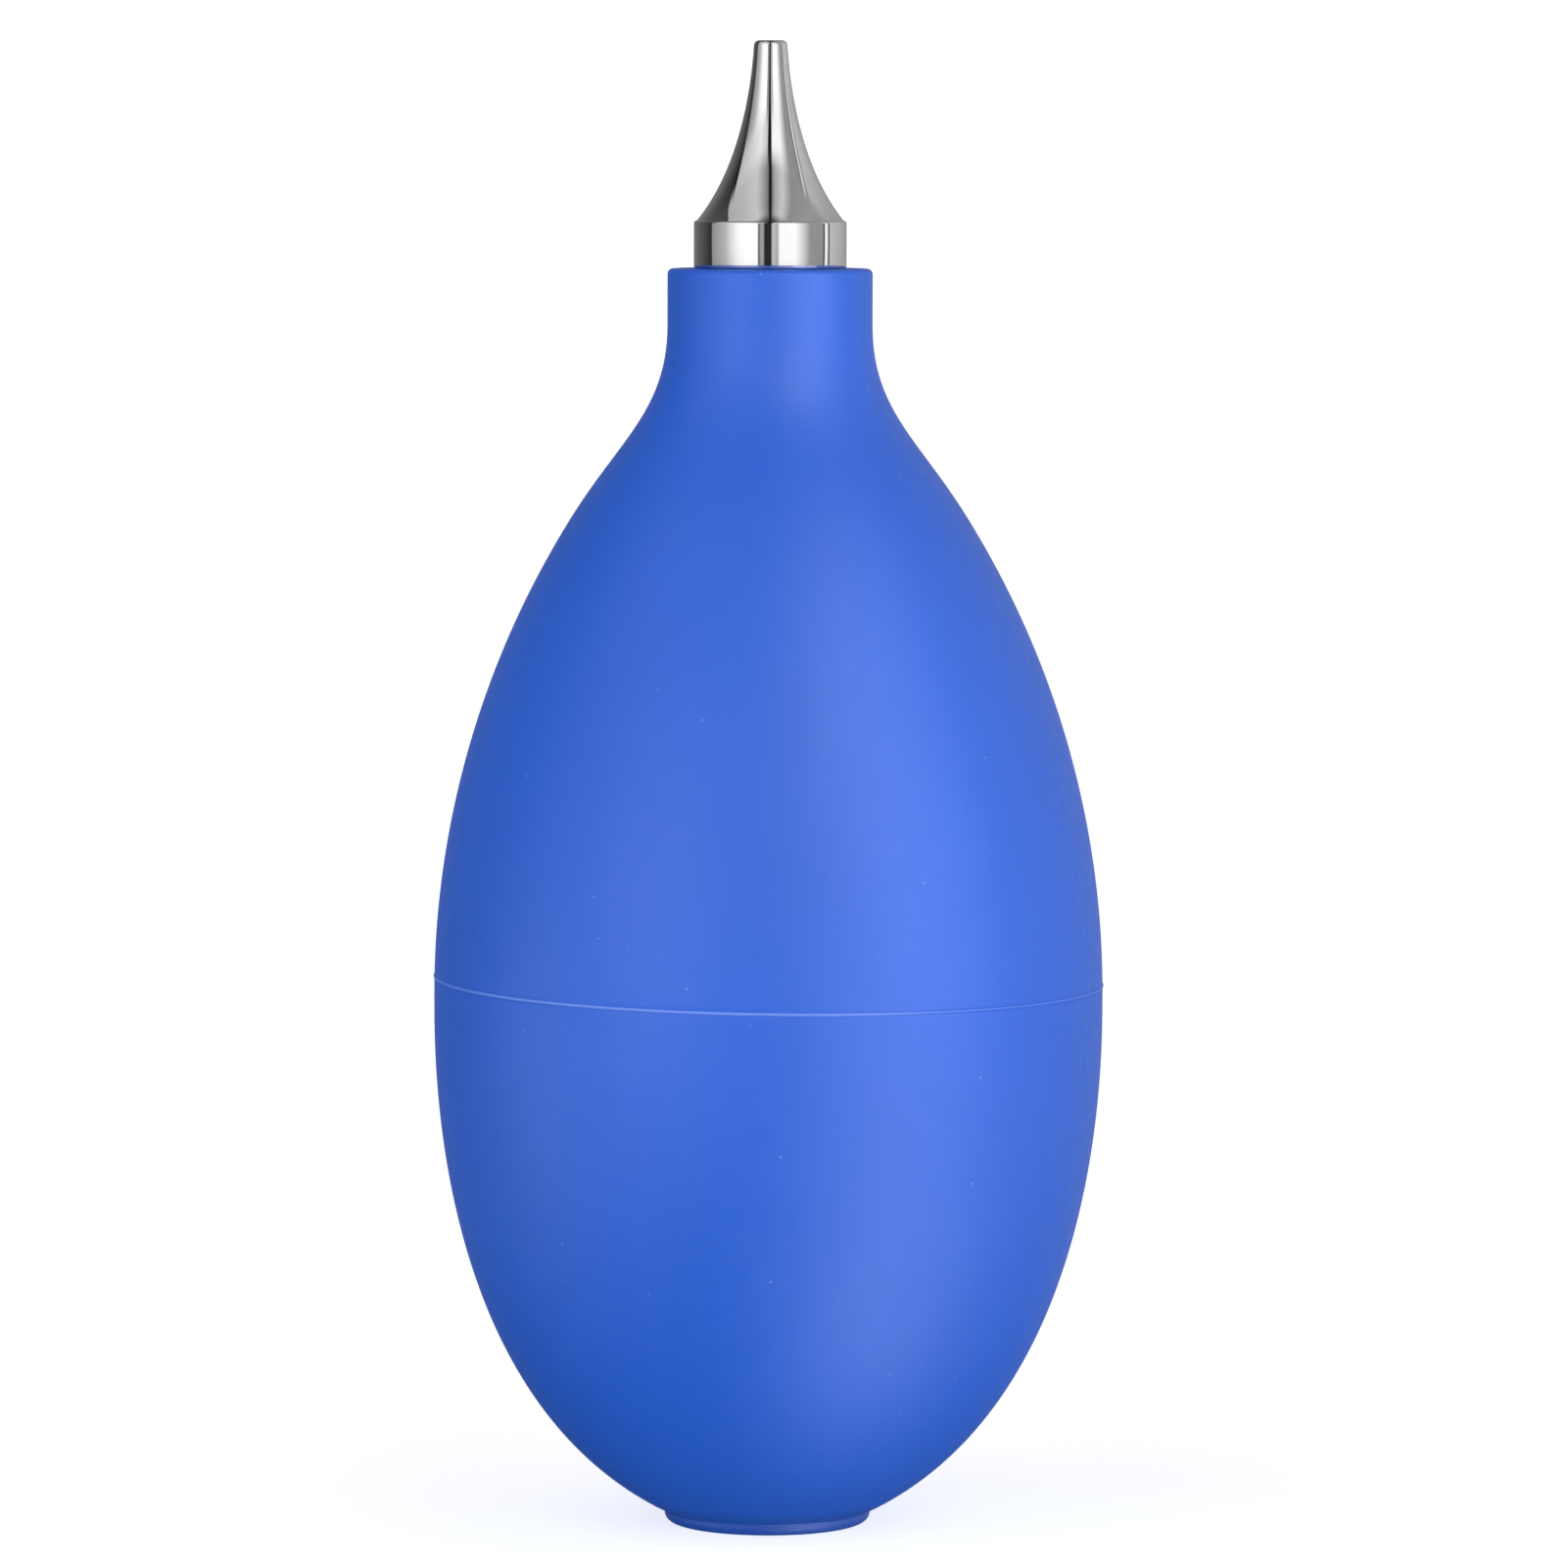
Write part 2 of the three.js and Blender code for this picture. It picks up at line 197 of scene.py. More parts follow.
def bulb_outline():
    """The bulb's outer face from the foot to the straight neck, in three smooth spans."""
    widest = (BELLY_RADIUS, BELLY_HEIGHT)
    neck = (NECK_RADIUS, NECK_START)
    up = math.pi / 2
    inwards = math.pi - SHOULDER_SLOPE
    belly = bezier(BELLY_START, polar(BELLY_START, LOWER_PULL[0], BELLY_SLOPE),
                   polar(widest, LOWER_PULL[1], -up), widest)
    upper = bezier(widest, polar(widest, UPPER_PULL[0], up),
                   polar(SHOULDER, -UPPER_PULL[1], inwards), SHOULDER)
    flare = bezier(SHOULDER, polar(SHOULDER, FLARE_PULL[0], inwards),
                   polar(neck, -FLARE_PULL[1], up), neck)
    return belly + upper[1:] + flare[1:]


def wall_at(height):
    rise = np.clip((height - WALL_GROWS[0]) / (WALL_GROWS[1] - WALL_GROWS[0]), 0, 1)
    return WALL + (NECK_RADIUS - NECK_BORE - WALL) * rise * rise * (3 - 2 * rise)


def lined(outline):
    """The same outline moved in by the wall thickness, point for point."""
    points = np.array(outline)
    along = np.gradient(points, axis=0)
    along /= np.linalg.norm(along, axis=1)[:, None]
    wall = wall_at(points[:, 1])
    return [(r - dz * w, z + dr * w) for (r, z), (dr, dz), w in zip(points, along, wall)]


def between(outline, low, high):
    return [p for p in outline if low < p[1] < high]


def radius_at(outline, height):
    return float(np.interp(height, [p[1] for p in outline], [p[0] for p in outline]))


def resampled(points, count):
    """The same line with exactly count points: the longest gaps are split, or the shortest closed."""
    points = list(points)
    while len(points) < count:
        gaps = [math.dist(a, b) for a, b in zip(points, points[1:])]
        i = gaps.index(max(gaps))
        (r0, z0), (r1, z1) = points[i], points[i + 1]
        points.insert(i + 1, ((r0 + r1) / 2, (z0 + z1) / 2))
    while len(points) > count:
        gaps = [math.dist(a, b) for a, b in zip(points[1:-1], points[2:])]
        points.pop(gaps.index(min(gaps)) + 2)
    return points


# ---------------------------------------------------------------- mesh building

def new_object(name, mesh):
    piece = bpy.data.objects.new(name, mesh)
    bpy.context.scene.collection.objects.link(piece)
    return piece


def ring_grid(outline, segments, lift=None):
    """Vertices and faces of a closed outline turned about the axis. lift(points) may move them."""
    profile = np.array(outline) * MM
    turn = np.arange(segments) * 2 * math.pi / segments
    points = np.stack([
        np.outer(profile[:, 0], np.cos(turn)),
        np.outer(profile[:, 0], np.sin(turn)),
        np.repeat(profile[:, 1:], segments, axis=1),
    ], axis=2).reshape(-1, 3)
    if lift:
        points = lift(points)
    k, j = np.meshgrid(np.arange(len(profile)), np.arange(segments), indexing="ij")
    k_next, j_next = (k + 1) % len(profile), (j + 1) % segments
    corners = [k * segments + j, k * segments + j_next, k_next * segments + j_next, k_next * segments + j]
    return points, np.stack(corners, axis=2).reshape(-1, 4)


def smooth_mesh(name, points, faces, sharp_angle=35):
    mesh = bpy.data.meshes.new(name)
    mesh.from_pydata(points.tolist(), [], faces.tolist())
    mesh.shade_smooth()
    mesh.set_sharp_from_angle(angle=math.radians(sharp_angle))
    return mesh


def turned(name, outline, segments=192):
    """A piece turned about the axis from an outline, listed outer face upwards.

    An outline that meets the axis closes there in a single point at each end."""
    points, faces = ring_grid(outline, segments)
    mesh = smooth_mesh(name, points, faces)
    work = bmesh.new()
    work.from_mesh(mesh)
    bmesh.ops.remove_doubles(work, verts=work.verts, dist=MERGE_DISTANCE)
    work.to_mesh(mesh)
    work.free()
    return new_object(name, mesh)


def turned_half(name, outer, inner, side, segments=192, lift=None):
    """The half of a hollow ring on one side of the plane x = 0, closed across its cut.

    outer and inner list the two faces upwards, point for point. The shading normals are those
    of the whole ring, so no line shows where the halves meet."""
    outline = list(outer) + list(inner)[::-1]
    points, faces = ring_grid(outline, segments, lift)
    whole = smooth_mesh(f"{name}_whole", points, faces)
    normals = np.zeros(len(faces) * 4 * 3, np.float32)
    whole.corner_normals.foreach_get("vector", normals)
    normals = normals.reshape(-1, 4, 3)
    bpy.data.meshes.remove(whole)

    kept = side * points[faces][:, :, 0].mean(axis=1) > 0
    faces, normals = faces[kept], normals[kept]

    outer_row = np.arange(len(outer) - 1)
    inner_row = len(outline) - 1 - outer_row
    rows = np.stack([outer_row, outer_row + 1, inner_row - 1, inner_row], axis=1) * segments
    front, back = 3 * segments // 4, segments // 4
    caps = np.concatenate([rows + back, rows[:, ::-1] + front])
    if side < 0:
        caps = caps[:, ::-1]
    cap_normals = np.zeros((len(caps), 4, 3), np.float32)
    cap_normals[:, :, 0] = -side
    faces = np.concatenate([faces, caps])
    normals = np.concatenate([normals, cap_normals])

    used, faces = np.unique(faces, return_inverse=True)
    mesh = smooth_mesh(name, points[used], faces.reshape(-1, 4))
    mesh.normals_split_custom_set(normals.reshape(-1, 3).tolist())
    return new_object(name, mesh)


def circle(centre, radius, steps=64):
    turn = np.arange(steps) * 2 * math.pi / steps
    return [polar(centre, radius, angle) for angle in turn]


def flat_plate(name, rims, low, high, edge=SMALL_EDGE):
    """A plate cut to an outer rim with holes, with bevelled edges. Rims are lists of (x, y)."""
    curve = bpy.data.curves.new(name, "CURVE")
    curve.dimensions = "2D"
    curve.fill_mode = "BOTH"
    curve.extrude = ((high - low) / 2 - edge) * MM
    curve.bevel_depth = edge * MM
    curve.bevel_resolution = 2
    curve.offset = -edge * MM
    for rim in rims:
        spline = curve.splines.new("POLY")
        spline.points.add(len(rim) - 1)
        for place, (x, y) in zip(spline.points, rim):
            place.co = (x * MM, y * MM, 0, 1)
        spline.use_cyclic_u = True
    draft = bpy.data.objects.new(f"{name}_draft", curve)
    mesh = bpy.data.meshes.new_from_object(draft)
    bpy.data.objects.remove(draft)
    work = bmesh.new()
    work.from_mesh(mesh)
    bmesh.ops.remove_doubles(work, verts=work.verts, dist=MERGE_DISTANCE)
    bmesh.ops.translate(work, verts=work.verts, vec=(0, 0, (low + high) / 2 * MM))
    bmesh.ops.recalc_face_normals(work, faces=work.faces)
    work.to_mesh(mesh)
    work.free()
    mesh.shade_smooth()
    mesh.set_sharp_from_angle(angle=math.radians(30))
    return new_object(name, mesh)


# ---------------------------------------------------------------- materials

def new_material(name):
    material = bpy.data.materials.new(f"{name}_surface")
    material.use_nodes = True
    nodes = material.node_tree.nodes
    return material, nodes, material.node_tree.links, nodes["Principled BSDF"]


def noise(nodes, links, scale, detail=2, roughness=0.5, stretch=(1, 1, 1)):
    """A noise texture fixed to the object; scale is in features per metre."""
    place = nodes.new("ShaderNodeTexCoord")
    mapping = nodes.new("ShaderNodeMapping")
    mapping.inputs["Scale"].default_value = stretch
    texture = nodes.new("ShaderNodeTexNoise")
    texture.inputs["Scale"].default_value = scale
    texture.inputs["Detail"].default_value = detail
    texture.inputs["Roughness"].default_value = roughness
    links.new(place.outputs["Object"], mapping.inputs["Vector"])
    links.new(mapping.outputs["Vector"], texture.inputs["Vector"])
    return texture.outputs["Fac"]


def ranged(nodes, links, value, low, high, from_low=0.3, from_high=0.7):
    """Spreads a value from one range over another."""
    spread = nodes.new("ShaderNodeMapRange")
    spread.inputs["From Min"].default_value = from_low
    spread.inputs["From Max"].default_value = from_high
    spread.inputs["To Min"].default_value = low
    spread.inputs["To Max"].default_value = high
    links.new(value, spread.inputs["Value"])
    return spread.outputs["Result"]


def mixed(nodes, links, factor, a, b):
    mix = nodes.new("ShaderNodeMix")
    mix.data_type = "RGBA"
    links.new(factor, mix.inputs["Factor"])
    for socket, colour in ((mix.inputs["A"], a), (mix.inputs["B"], b)):
        if isinstance(colour, tuple):
            socket.default_value = (*colour, 1)
        else:
            links.new(colour, socket)
    return mix.outputs["Result"]


def bumped(nodes, links, height, depth, under=None):
    """A bump of the given depth in metres."""
    bump = nodes.new("ShaderNodeBump")
    bump.inputs["Distance"].default_value = depth
    links.new(height, bump.inputs["Height"])
    if under is not None:
        links.new(under, bump.inputs["Normal"])
    return bump.outputs["Normal"]


RUBBER_SHEEN = 0.54            # silicone reflects a little more than plain plastic
RUBBER_GRAIN = 0.000014        # depth of the moulded grain and of the wider ripple, in metres
RUBBER_RIPPLE = 0.00003
DUST_SPACING = 330             # cells per metre, with at most one speck of dust in each
FOOT_PAINTED_SHADE_HEIGHTS = (0.8, 2.2)        # painted shade: the foot's colour is darkened below these heights, standing in for the shade round the foot
FOOT_SHADE = 0.62
SEAM_PAINTED_SHADE_PLACES = (7, 14)            # painted shade: the seam turns less pale right of these places, toning down its painted highlight on its lit right side


def rubber_material(name, colour, shade, roughness, right=None):
    """Matte moulded silicone rubber: cloudy colour, a fine grain and a few dust specks.

    Its right side may turn to another colour, as painted shade, and the foot's colour is darkened as painted
    shade."""
    material, nodes, links, shader = new_material(name)
    cloud = ranged(nodes, links, noise(nodes, links, scale=45, detail=3), 0, 1)
    base = mixed(nodes, links, cloud, shade, colour)
    place = nodes.new("ShaderNodeTexCoord")
    split = nodes.new("ShaderNodeSeparateXYZ")
    links.new(place.outputs["Object"], split.inputs["Vector"])
    # painted shade: the colour darkens towards the foot, for the shade that falls there
    painted_foot_shade = ranged(nodes, links, split.outputs["Z"], 0, 1, FOOT_PAINTED_SHADE_HEIGHTS[0] * MM, FOOT_PAINTED_SHADE_HEIGHTS[1] * MM)
    base = mixed(nodes, links, painted_foot_shade, tuple(FOOT_SHADE * c for c in colour), base)
    if right:
        # painted shade: right of these places the colour turns to the darker right-hand colour
        painted_seam_shade = ranged(nodes, links, split.outputs["X"], 0, 1, SEAM_PAINTED_SHADE_PLACES[0] * MM, SEAM_PAINTED_SHADE_PLACES[1] * MM)
        base = mixed(nodes, links, painted_seam_shade, base, right)
    cells = nodes.new("ShaderNodeTexVoronoi")
    cells.inputs["Scale"].default_value = DUST_SPACING
    links.new(place.outputs["Object"], cells.inputs["Vector"])
    speck = ranged(nodes, links, cells.outputs["Distance"], 0.5, 0, 0.02, 0.05)
    pale = tuple(0.75 * c + 0.25 for c in colour)
    links.new(mixed(nodes, links, speck, base, pale), shader.inputs["Base Color"])
    shader.inputs["Specular IOR Level"].default_value = RUBBER_SHEEN
    patches = noise(nodes, links, scale=900, detail=4)
    links.new(ranged(nodes, links, patches, roughness - 0.04, roughness + 0.05), shader.inputs["Roughness"])
    ripple = bumped(nodes, links, noise(nodes, links, scale=160, detail=2), RUBBER_RIPPLE)
    grain = noise(nodes, links, scale=5200, detail=4, roughness=0.6)
    links.new(bumped(nodes, links, grain, RUBBER_GRAIN, under=ripple), shader.inputs["Normal"])
    return material


def steel_material():
    """Polished turned steel: clear reflections, faint turning marks and slight haze."""
    material, nodes, links, shader = new_material("polished_steel")
    shader.inputs["Metallic"].default_value = 1
    haze = ranged(nodes, links, noise(nodes, links, scale=300, detail=3), 0, 1)
    links.new(mixed(nodes, links, haze, (0.74, 0.74, 0.75), (0.82, 0.82, 0.83)),
              shader.inputs["Base Color"])
    wear = noise(nodes, links, scale=1500, detail=3)
    links.new(ranged(nodes, links, wear, 0.015, 0.035), shader.inputs["Roughness"])
    marks = noise(nodes, links, scale=120, detail=2, stretch=(1, 1, 60))
    links.new(bumped(nodes, links, marks, depth=0.0000008), shader.inputs["Normal"])
    return material


def nickel_material():
    """Satin nickel plate over brass."""
    material, nodes, links, shader = new_material("nickel_brass")
    shader.inputs["Metallic"].default_value = 1
    tint = ranged(nodes, links, noise(nodes, links, scale=400, detail=3), 0, 1)
    links.new(mixed(nodes, links, tint, (0.58, 0.56, 0.51), (0.7, 0.68, 0.63)),
              shader.inputs["Base Color"])
    satin = noise(nodes, links, scale=2500, detail=3)
    links.new(ranged(nodes, links, satin, 0.2, 0.34), shader.inputs["Roughness"])
    grain = noise(nodes, links, scale=6000, detail=2)
    links.new(bumped(nodes, links, grain, depth=0.000004), shader.inputs["Normal"])
    return material


def felt_material():
    material, nodes, links, shader = new_material("filter_felt")
    fibre = noise(nodes, links, scale=2500, detail=5, roughness=0.7, stretch=(1, 0.3, 1))
    tint = ranged(nodes, links, fibre, 0, 1)
    links.new(mixed(nodes, links, tint, (0.72, 0.71, 0.68), (0.9, 0.89, 0.86)),
              shader.inputs["Base Color"])
    links.new(ranged(nodes, links, fibre, 0.85, 1), shader.inputs["Roughness"])
    links.new(bumped(nodes, links, fibre, depth=0.0001), shader.inputs["Normal"])
    return material


def silicone_material():
    material, nodes, links, shader = new_material("clear_silicone")
    cloud = noise(nodes, links, scale=700, detail=3)
    tint = ranged(nodes, links, cloud, 0, 1)
    links.new(mixed(nodes, links, tint, (0.68, 0.7, 0.72), (0.8, 0.82, 0.84)),
              shader.inputs["Base Color"])
    links.new(ranged(nodes, links, cloud, 0.3, 0.42), shader.inputs["Roughness"])
    grain = noise(nodes, links, scale=3000, detail=2)
    links.new(bumped(nodes, links, grain, depth=0.00001), shader.inputs["Normal"])
    shader.inputs["Transmission Weight"].default_value = 0.35
    return material


def plastic_material():
    material, nodes, links, shader = new_material("white_plastic")
    cloud = noise(nodes, links, scale=500, detail=3)
    tint = ranged(nodes, links, cloud, 0, 1)
    links.new(mixed(nodes, links, tint, (0.76, 0.76, 0.73), (0.84, 0.84, 0.82)),
              shader.inputs["Base Color"])
    links.new(ranged(nodes, links, cloud, 0.38, 0.5), shader.inputs["Roughness"])
    grain = noise(nodes, links, scale=5000, detail=3)
    links.new(bumped(nodes, links, grain, depth=0.00001), shader.inputs["Normal"])
    return material


# The look of each of the record's material slots
SURFACES = {
    "bulb_rubber": rubber_material("bulb_rubber", (0.019, 0.13, 0.72), (0.017, 0.121, 0.68), 0.44),
    # The seam's pale colour is paler bonding rubber and in part a painted highlight where the bead catches
    # light; its right-hand colour is painted shade.
    "seam_rubber": rubber_material("seam_rubber", (0.15, 0.3, 0.93), (0.09, 0.23, 0.82), 0.45,
                                   right=(0.06, 0.185, 0.79)),
    "polished_steel": steel_material(),
    "nickel_brass": nickel_material(),
    "filter_felt": felt_material(),
    "clear_silicone": silicone_material(),
    "white_plastic": plastic_material(),
}


def dress(piece, slot):
    piece.data.materials.clear()
    piece.data.materials.append(SURFACES[slot])


# ---------------------------------------------------------------- rubber bulb

OUTLINE = bulb_outline()
RUBBER_PIECES = []


def tilted(points):
    """Moves mesh rows near the seam down to the right, along the bulb's own face."""
    near = np.clip(1 - np.abs(points[:, 2] / MM - SEAM_HEIGHT) / SEAM_REACH, 0, 1) ** 2
    drop = -near * math.tan(SEAM_TILT) * points[:, 0]
    radii, heights = np.array(OUTLINE).T
    before = np.interp(points[:, 2] / MM, heights, radii)
    after = np.interp((points[:, 2] + drop) / MM, heights, radii)
    size = np.hypot(points[:, 0], points[:, 1])
    moved = points.copy()
    moved[:, :2] *= (1 + (after - before) * MM / size)[:, None]
    moved[:, 2] += drop
    return moved


def halves(name, outer, inner, slot, tilt, replaced):
    """Left and right halves of a rubber ring; each hides the record's parts that it replaces."""
    for side, word in ((-1, "left"), (1, "right")):
        piece = turned_half(f"{name}_{word}", outer, inner, side, lift=tilted)
        dress(piece, slot)
        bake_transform(piece)
        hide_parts(*replaced[word])
        RUBBER_PIECES.append(piece)


def lower_bulb():
    edge = SEAM_HEIGHT - SEAM_GAP
    foot = arc((FOOT_RADIUS - FOOT_EDGE, FOOT_EDGE), FOOT_EDGE, -90, 0)
    crease = [(FOOT_RADIUS + out, z) for out, z in FOOT_CREASE]
    belly = between(OUTLINE, BELLY_CLEAR, edge - SEAM_EDGE - SEAM_CLEAR)
    rim = radius_at(OUTLINE, edge)
    lip = arc((rim - SEAM_EDGE, edge - SEAM_EDGE), SEAM_EDGE, 0, 90, 4)
    outer = [(FOOT_RECESS + RECESS_EDGE, 0)] + foot + crease + belly + lip + [(rim - SEAM_LAND, edge)]
    lining = [p for p in lined(belly) if p[0] > BOSS_RADIUS + BOSS_CLEAR]
    bore = [
        (FOOT_RECESS, RECESS_EDGE), (FOOT_RECESS, FOOT_RECESS_DEPTH), (FOOT_BORE, FOOT_RECESS_DEPTH),
        (FOOT_BORE, BOSS_TOP), (BOSS_RADIUS, BOSS_TOP), (BOSS_RADIUS, lining[0][1] - LINING_STEP),
    ]
    return outer, resampled(bore + lining + [(rim - WALL, edge)], len(outer))


def upper_bulb():
    edge = SEAM_HEIGHT + SEAM_GAP
    belly = between(OUTLINE, edge + SEAM_EDGE + SEAM_CLEAR, NECK_START + NECK_STEP)
    rim = radius_at(OUTLINE, edge)
    lip = arc((rim - SEAM_EDGE, edge + SEAM_EDGE), SEAM_EDGE, -90, 0, 4)
    neck_end = NECK_TOP - NECK_EDGE - NECK_CLEAR
    bore_end = NECK_TOP - NECK_BORE_CLEAR
    neck = [(NECK_RADIUS, z) for z in np.arange(NECK_START + NECK_STEP, neck_end, ROW)]
    top = arc((NECK_RADIUS - NECK_EDGE, NECK_TOP - NECK_EDGE), NECK_EDGE, 0, 90)
    outer = [(rim - SEAM_LAND, edge)] + lip + belly + neck + top + [(NECK_BORE + NECK_BORE_EDGE, NECK_TOP)]
    bore = [(NECK_BORE, z) for z in np.arange(NECK_START + NECK_STEP, bore_end, ROW)]
    lining = [(rim - WALL, edge)] + lined(belly) + bore + [(NECK_BORE, NECK_TOP - NECK_BORE_EDGE)]
    return outer, resampled(lining, len(outer))


def seam_bead():
    """A fine raised ring of bonding rubber round the belly."""
    rim = radius_at(OUTLINE, SEAM_HEIGHT)
    outer = arc((rim + SEAM_PROUD - SEAM_BEAD, SEAM_HEIGHT), SEAM_BEAD, -90, 90, 10)
    inner = [(rim - WALL, z) for _, z in outer]
    return outer, inner


halves("bulb_lower", *lower_bulb(), "bulb_rubber", -SQUEEZE_TILT, {
    "left": ("lower_shell", "left_wall_lower"), "right": ("lower_shell", "right_wall_lower")})
halves("bulb_upper", *upper_bulb(), "bulb_rubber", SQUEEZE_TILT, {
    "left": ("upper_shell", "left_wall_upper"), "right": ("upper_shell", "right_wall_upper")})
halves("seam_bead", *seam_bead(), "seam_rubber", 0, {
    "left": ("seam_front", "left_seam"), "right": ("seam_back", "right_seam")})

# ---------------------------------------------------------------- nozzle

def cone_outline():
    """The steel cone sweeps in a hollow curve from the collar to the slim tip."""
    foot = (CONE_RADIUS, COLLAR_TOP)
    tip = (TIP_RADIUS, TIP_TOP - TIP_EDGE)
    return bezier(foot, polar(foot, CONE_PULL[0], math.pi - CONE_FOOT_LEAN),
                  polar(tip, CONE_PULL[1], CONE_TIP_LEAN - math.pi / 2), tip, CONE_ROW)


def barb_outline():
    """Saw-tooth rings that hold the tail in the neck."""
    points = []
    for i in range(BARB_COUNT):
        low = TAIL_BOTTOM + BARB_START + i * BARB_PITCH
        high = low + BARB_PITCH - BARB_STEP
        points += [(TAIL_ROOT, low)] + arc((BARB_RADIUS - BARB_EDGE, high), BARB_EDGE, 0, 90, 3)
        points += [(TAIL_ROOT, high + BARB_EDGE)]
    return points


def nozzle():
    low = NECK_TOP + COLLAR_GAP
    side = COLLAR_RADIUS - COLLAR_EDGE
    outline = (
        [(TAIL_BORE, TAIL_BOTTOM), (TAIL_ROOT - TAIL_EDGE, TAIL_BOTTOM)]
        + barb_outline()
        + [(TAIL_ROOT, low)]
        + arc((side, low + COLLAR_EDGE), COLLAR_EDGE, -90, 0, 4)
        + arc((side, COLLAR_TOP - COLLAR_EDGE), COLLAR_EDGE, 0, 80, 5)
        + cone_outline()
        + arc((TIP_RADIUS - TIP_EDGE, TIP_TOP - TIP_EDGE), TIP_EDGE, 0, 90, 8)[1:]
        + arc((TIP_BORE + TIP_BORE_EDGE, TIP_TOP - TIP_BORE_EDGE), TIP_BORE_EDGE, 90, 180, 3)
        + [(TIP_BORE, TIP_TOP - TIP_BORE_LENGTH), (TAIL_BORE, TAIL_BORE_TOP)]
    )
    piece = turned("nozzle_steel", outline)
    dress(piece, "polished_steel")
    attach(piece, "nozzle")
    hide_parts("nozzle")


nozzle()

# ---------------------------------------------------------------- valves

def stands_for(piece, node, body, slot):
    dress(piece, slot)
    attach(piece, body)
    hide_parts(node)


def rounded_disc(name, radius, low, high, edge):
    """A disc on the axis with rounded rims."""
    outline = ([(0, low)] + arc((radius - edge, low + edge), edge, -90, 0, 4)
               + arc((radius - edge, high - edge), edge, 0, 90, 4) + [(0, high)])
    return turned(name, outline, 96)


def inlet_housing():
    """A spool clipped into the foot: flange below, barb above, valve seat across the middle."""
    barrel = FOOT_BORE - HOUSING_PLAY
    flange_top = HOUSING_BOTTOM + FLANGE_THICKNESS
    barb_low = BOSS_TOP + HOUSING_PLAY
    lip_width, lip_height = HOUSING_LIP
    outline = (
        [(INLET_POCKET + SMALL_EDGE, HOUSING_BOTTOM)]
        + arc((HOUSING_FLANGE - FLANGE_EDGE, HOUSING_BOTTOM + FLANGE_EDGE), FLANGE_EDGE, -90, 0, 4)
        + [(HOUSING_FLANGE, flange_top), (barrel, flange_top), (barrel, barb_low)]
        + arc((HOUSING_BARB - HOUSING_BARB_EDGE, barb_low + HOUSING_BARB_EDGE), HOUSING_BARB_EDGE, -90, 40, 4)
        + [(barrel, HOUSING_TOP - lip_height), (barrel - lip_width, HOUSING_TOP)]
        + [(INLET_POCKET + SMALL_EDGE, HOUSING_TOP)]
        + [(INLET_POCKET, HOUSING_TOP - SMALL_EDGE), (INLET_POCKET, INLET_SEAT[1])]
        + arc((INLET_HOLE + INLET_SEAT_EDGE, INLET_SEAT[1] - INLET_SEAT_EDGE), INLET_SEAT_EDGE, 90, 180, 4)
        + [(INLET_HOLE, INLET_SEAT[0]), (INLET_POCKET, INLET_SEAT[0])]
        + [(INLET_POCKET, HOUSING_BOTTOM + SMALL_EDGE)]
    )
    piece = turned("inlet_housing_brass", outline, 128)
    stands_for(piece, "inlet_housing", "bulb", "nickel_brass")


def inlet_grille():
    node = "inlet_grille"
    holes = [polar((0, 0), GRILLE_HOLE_RING, i * 2 * math.pi / GRILLE_HOLE_COUNT)
             for i in range(GRILLE_HOLE_COUNT)]
    rims = [circle((0, 0), radius_of(node) + GRILLE_PRESS, 128)]
    rims += [circle(place, GRILLE_HOLE, 32) for place in [(0, 0)] + holes]
    piece = flat_plate("inlet_grille_plate", rims, bottom_of(node), top_of(node))
    stands_for(piece, node, "bulb", "nickel_brass")


def stop_wheel(node, spokes, body):
    """A thin wheel with open sectors between its spokes, which stops a valve disc."""
    radius = radius_of(node)
    rims = [circle((0, 0), radius, 96)]
    for i in range(spokes):
        start = math.degrees(i * 2 * math.pi / spokes + SPOKE_HALF_ANGLE)
        end = math.degrees((i + 1) * 2 * math.pi / spokes - SPOKE_HALF_ANGLE)
        rims.append(arc((0, 0), radius * WHEEL_RIM, start, end, 16)
                    + arc((0, 0), radius * WHEEL_HUB, end, start, 8))
    piece = flat_plate(f"{node}_wheel", rims, bottom_of(node), top_of(node))
    stands_for(piece, node, body, "white_plastic")


def outlet_seat():
    node = "outlet_seat"
    radius, low, high = radius_of(node), bottom_of(node), top_of(node)
    outline = (
        [(OUTLET_HOLE + SMALL_EDGE, low), (radius - SMALL_EDGE, low), (radius, low + SMALL_EDGE)]
        + [(radius, high - SMALL_EDGE), (radius - SMALL_EDGE, high)]
        + arc((OUTLET_HOLE + OUTLET_SEAT_EDGE, high - OUTLET_SEAT_EDGE), OUTLET_SEAT_EDGE, 90, 180, 4)
        + [(OUTLET_HOLE, low + SMALL_EDGE)]
    )
    stands_for(turned("outlet_seat_ring", outline, 96), node, "nozzle", "white_plastic")


inlet_housing()
inlet_grille()
stop_wheel("inlet_stop", 4, "bulb")
stop_wheel("outlet_stop", 3, "nozzle")
outlet_seat()
for node, body, slot, edge in (
    ("inlet_filter", "bulb", "filter_felt", FILTER_EDGE),
    ("inlet_disc", "inlet_disc", "clear_silicone", DISC_EDGE),
    ("outlet_disc", "outlet_disc", "clear_silicone", DISC_EDGE),
):
    piece = rounded_disc(f"{node}_round", radius_of(node), bottom_of(node), top_of(node), edge)
    stands_for(piece, node, body, slot)

# ---------------------------------------------------------------- studio and camera

